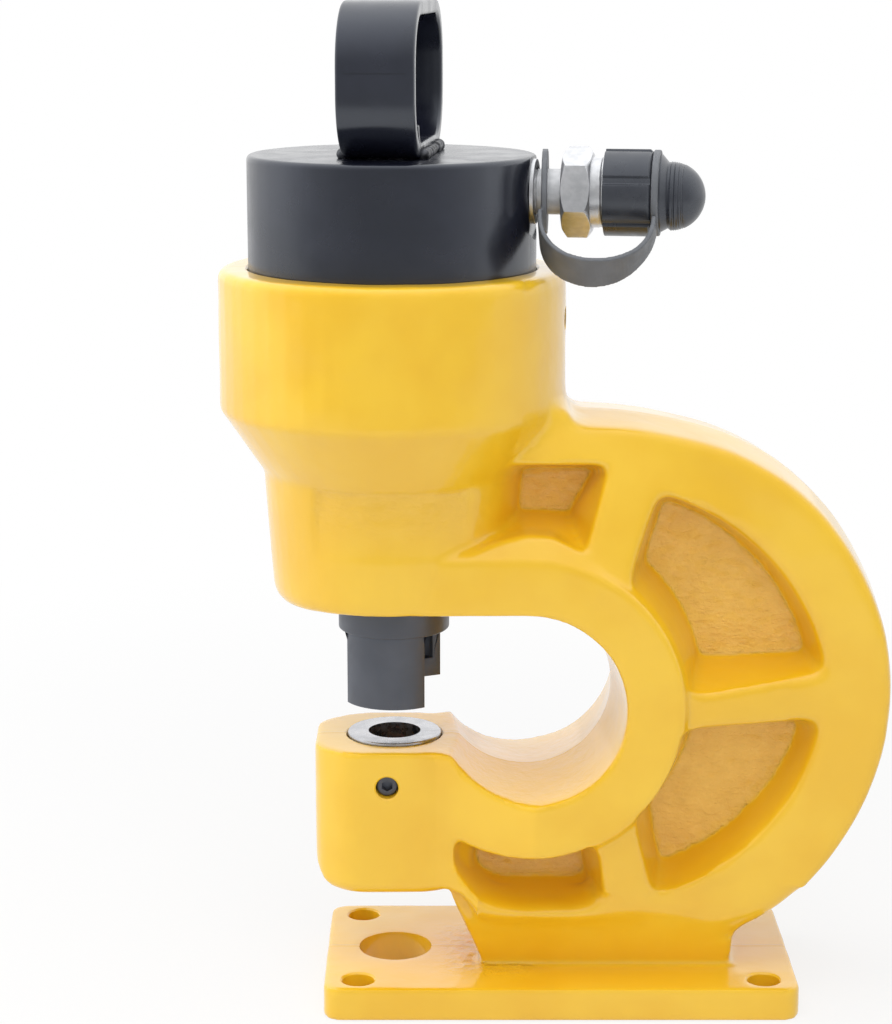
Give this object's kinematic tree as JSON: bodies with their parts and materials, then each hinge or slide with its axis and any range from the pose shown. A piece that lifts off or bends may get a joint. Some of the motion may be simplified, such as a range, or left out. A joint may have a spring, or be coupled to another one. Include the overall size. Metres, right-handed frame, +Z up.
{
  "type": "hydraulic hole punch",
  "caption": "Bench or hand-carried C-frame hydraulic punch head: a ram drives a round punch through plate laid on a die in the jaw.",
  "frame": {"origin": "middle of the base plate's underside, on its flat face", "axes": "+Z up along the ram, +X from the punch axis towards the closed back of the C, -Y towards the viewer of the picture"},
  "size_m": [0.2677, 0.1366, 0.3989],
  "materials": {
    "yellow_enamel": "gloss enamel over a sand casting",
    "black_oxide": "glossy black",
    "ground_steel": "ground",
    "zinc_plate": "bright zinc plate",
    "bronze": "machined bronze",
    "black_rubber": "satin",
    "black_plastic": "semi-gloss"
  },
  "bodies": {
    "frame": {"frame_casting": "yellow_enamel", "base_plate": "yellow_enamel", "cylinder_barrel": "black_oxide", "barrel_lock_screw": "black_oxide", "lifting_handle": "black_oxide", "guide_bush": "bronze", "rod_wiper": "black_rubber", "return_spring": "ground_steel", "stripper": "black_oxide", "die": "ground_steel", "die_lock_screw": "black_oxide", "port_adapter": "zinc_plate", "coupler_body": "zinc_plate", "coupler_spring": "ground_steel", "coupler_seal": "black_rubber", "dust_cap_tether": "black_rubber"},
    "ram": {"piston_rod": "ground_steel", "piston_seal": "black_rubber", "piston_wear_ring": "bronze", "punch_nut": "black_oxide", "punch": "ground_steel"},
    "valve": {"coupler_poppet": "ground_steel"},
    "cap_ring": {"tether_cap_ring": "black_rubber"},
    "cap": {"dust_cap": "black_plastic"}
  },
  "joints": [
    {"name": "ram_slide", "type": "slide", "parent": "frame", "child": "ram", "axis": [0, 0, -1], "range_m": [0, 0.02], "stiffness_N_per_m": 12000, "springref_m": -0.02, "deforming": ["return_spring"]},
    {"name": "valve_slide", "type": "slide", "parent": "frame", "child": "valve", "axis": [-0.9877, 0.1564, 0], "range_m": [0, 0.003], "stiffness_N_per_m": 1500, "springref_m": -0.004, "deforming": ["coupler_spring"]},
    {"name": "cap_travel", "type": "slide", "parent": "frame", "child": "cap_ring", "axis": [0.9877, -0.1564, 0], "range_m": [0, 0.018], "deforming": ["dust_cap_tether"]},
    {"name": "cap_turn", "type": "hinge", "parent": "cap_ring", "child": "cap", "pos_m": [-0.0672, 0, 0.3265], "axis": [0.9877, -0.1564, 0], "range_deg": [0, 2160]}
  ],
  "couplings": [
    {"joint": "cap_travel", "follows": "cap_turn", "m_per_rad": 0.00047746}
  ]
}
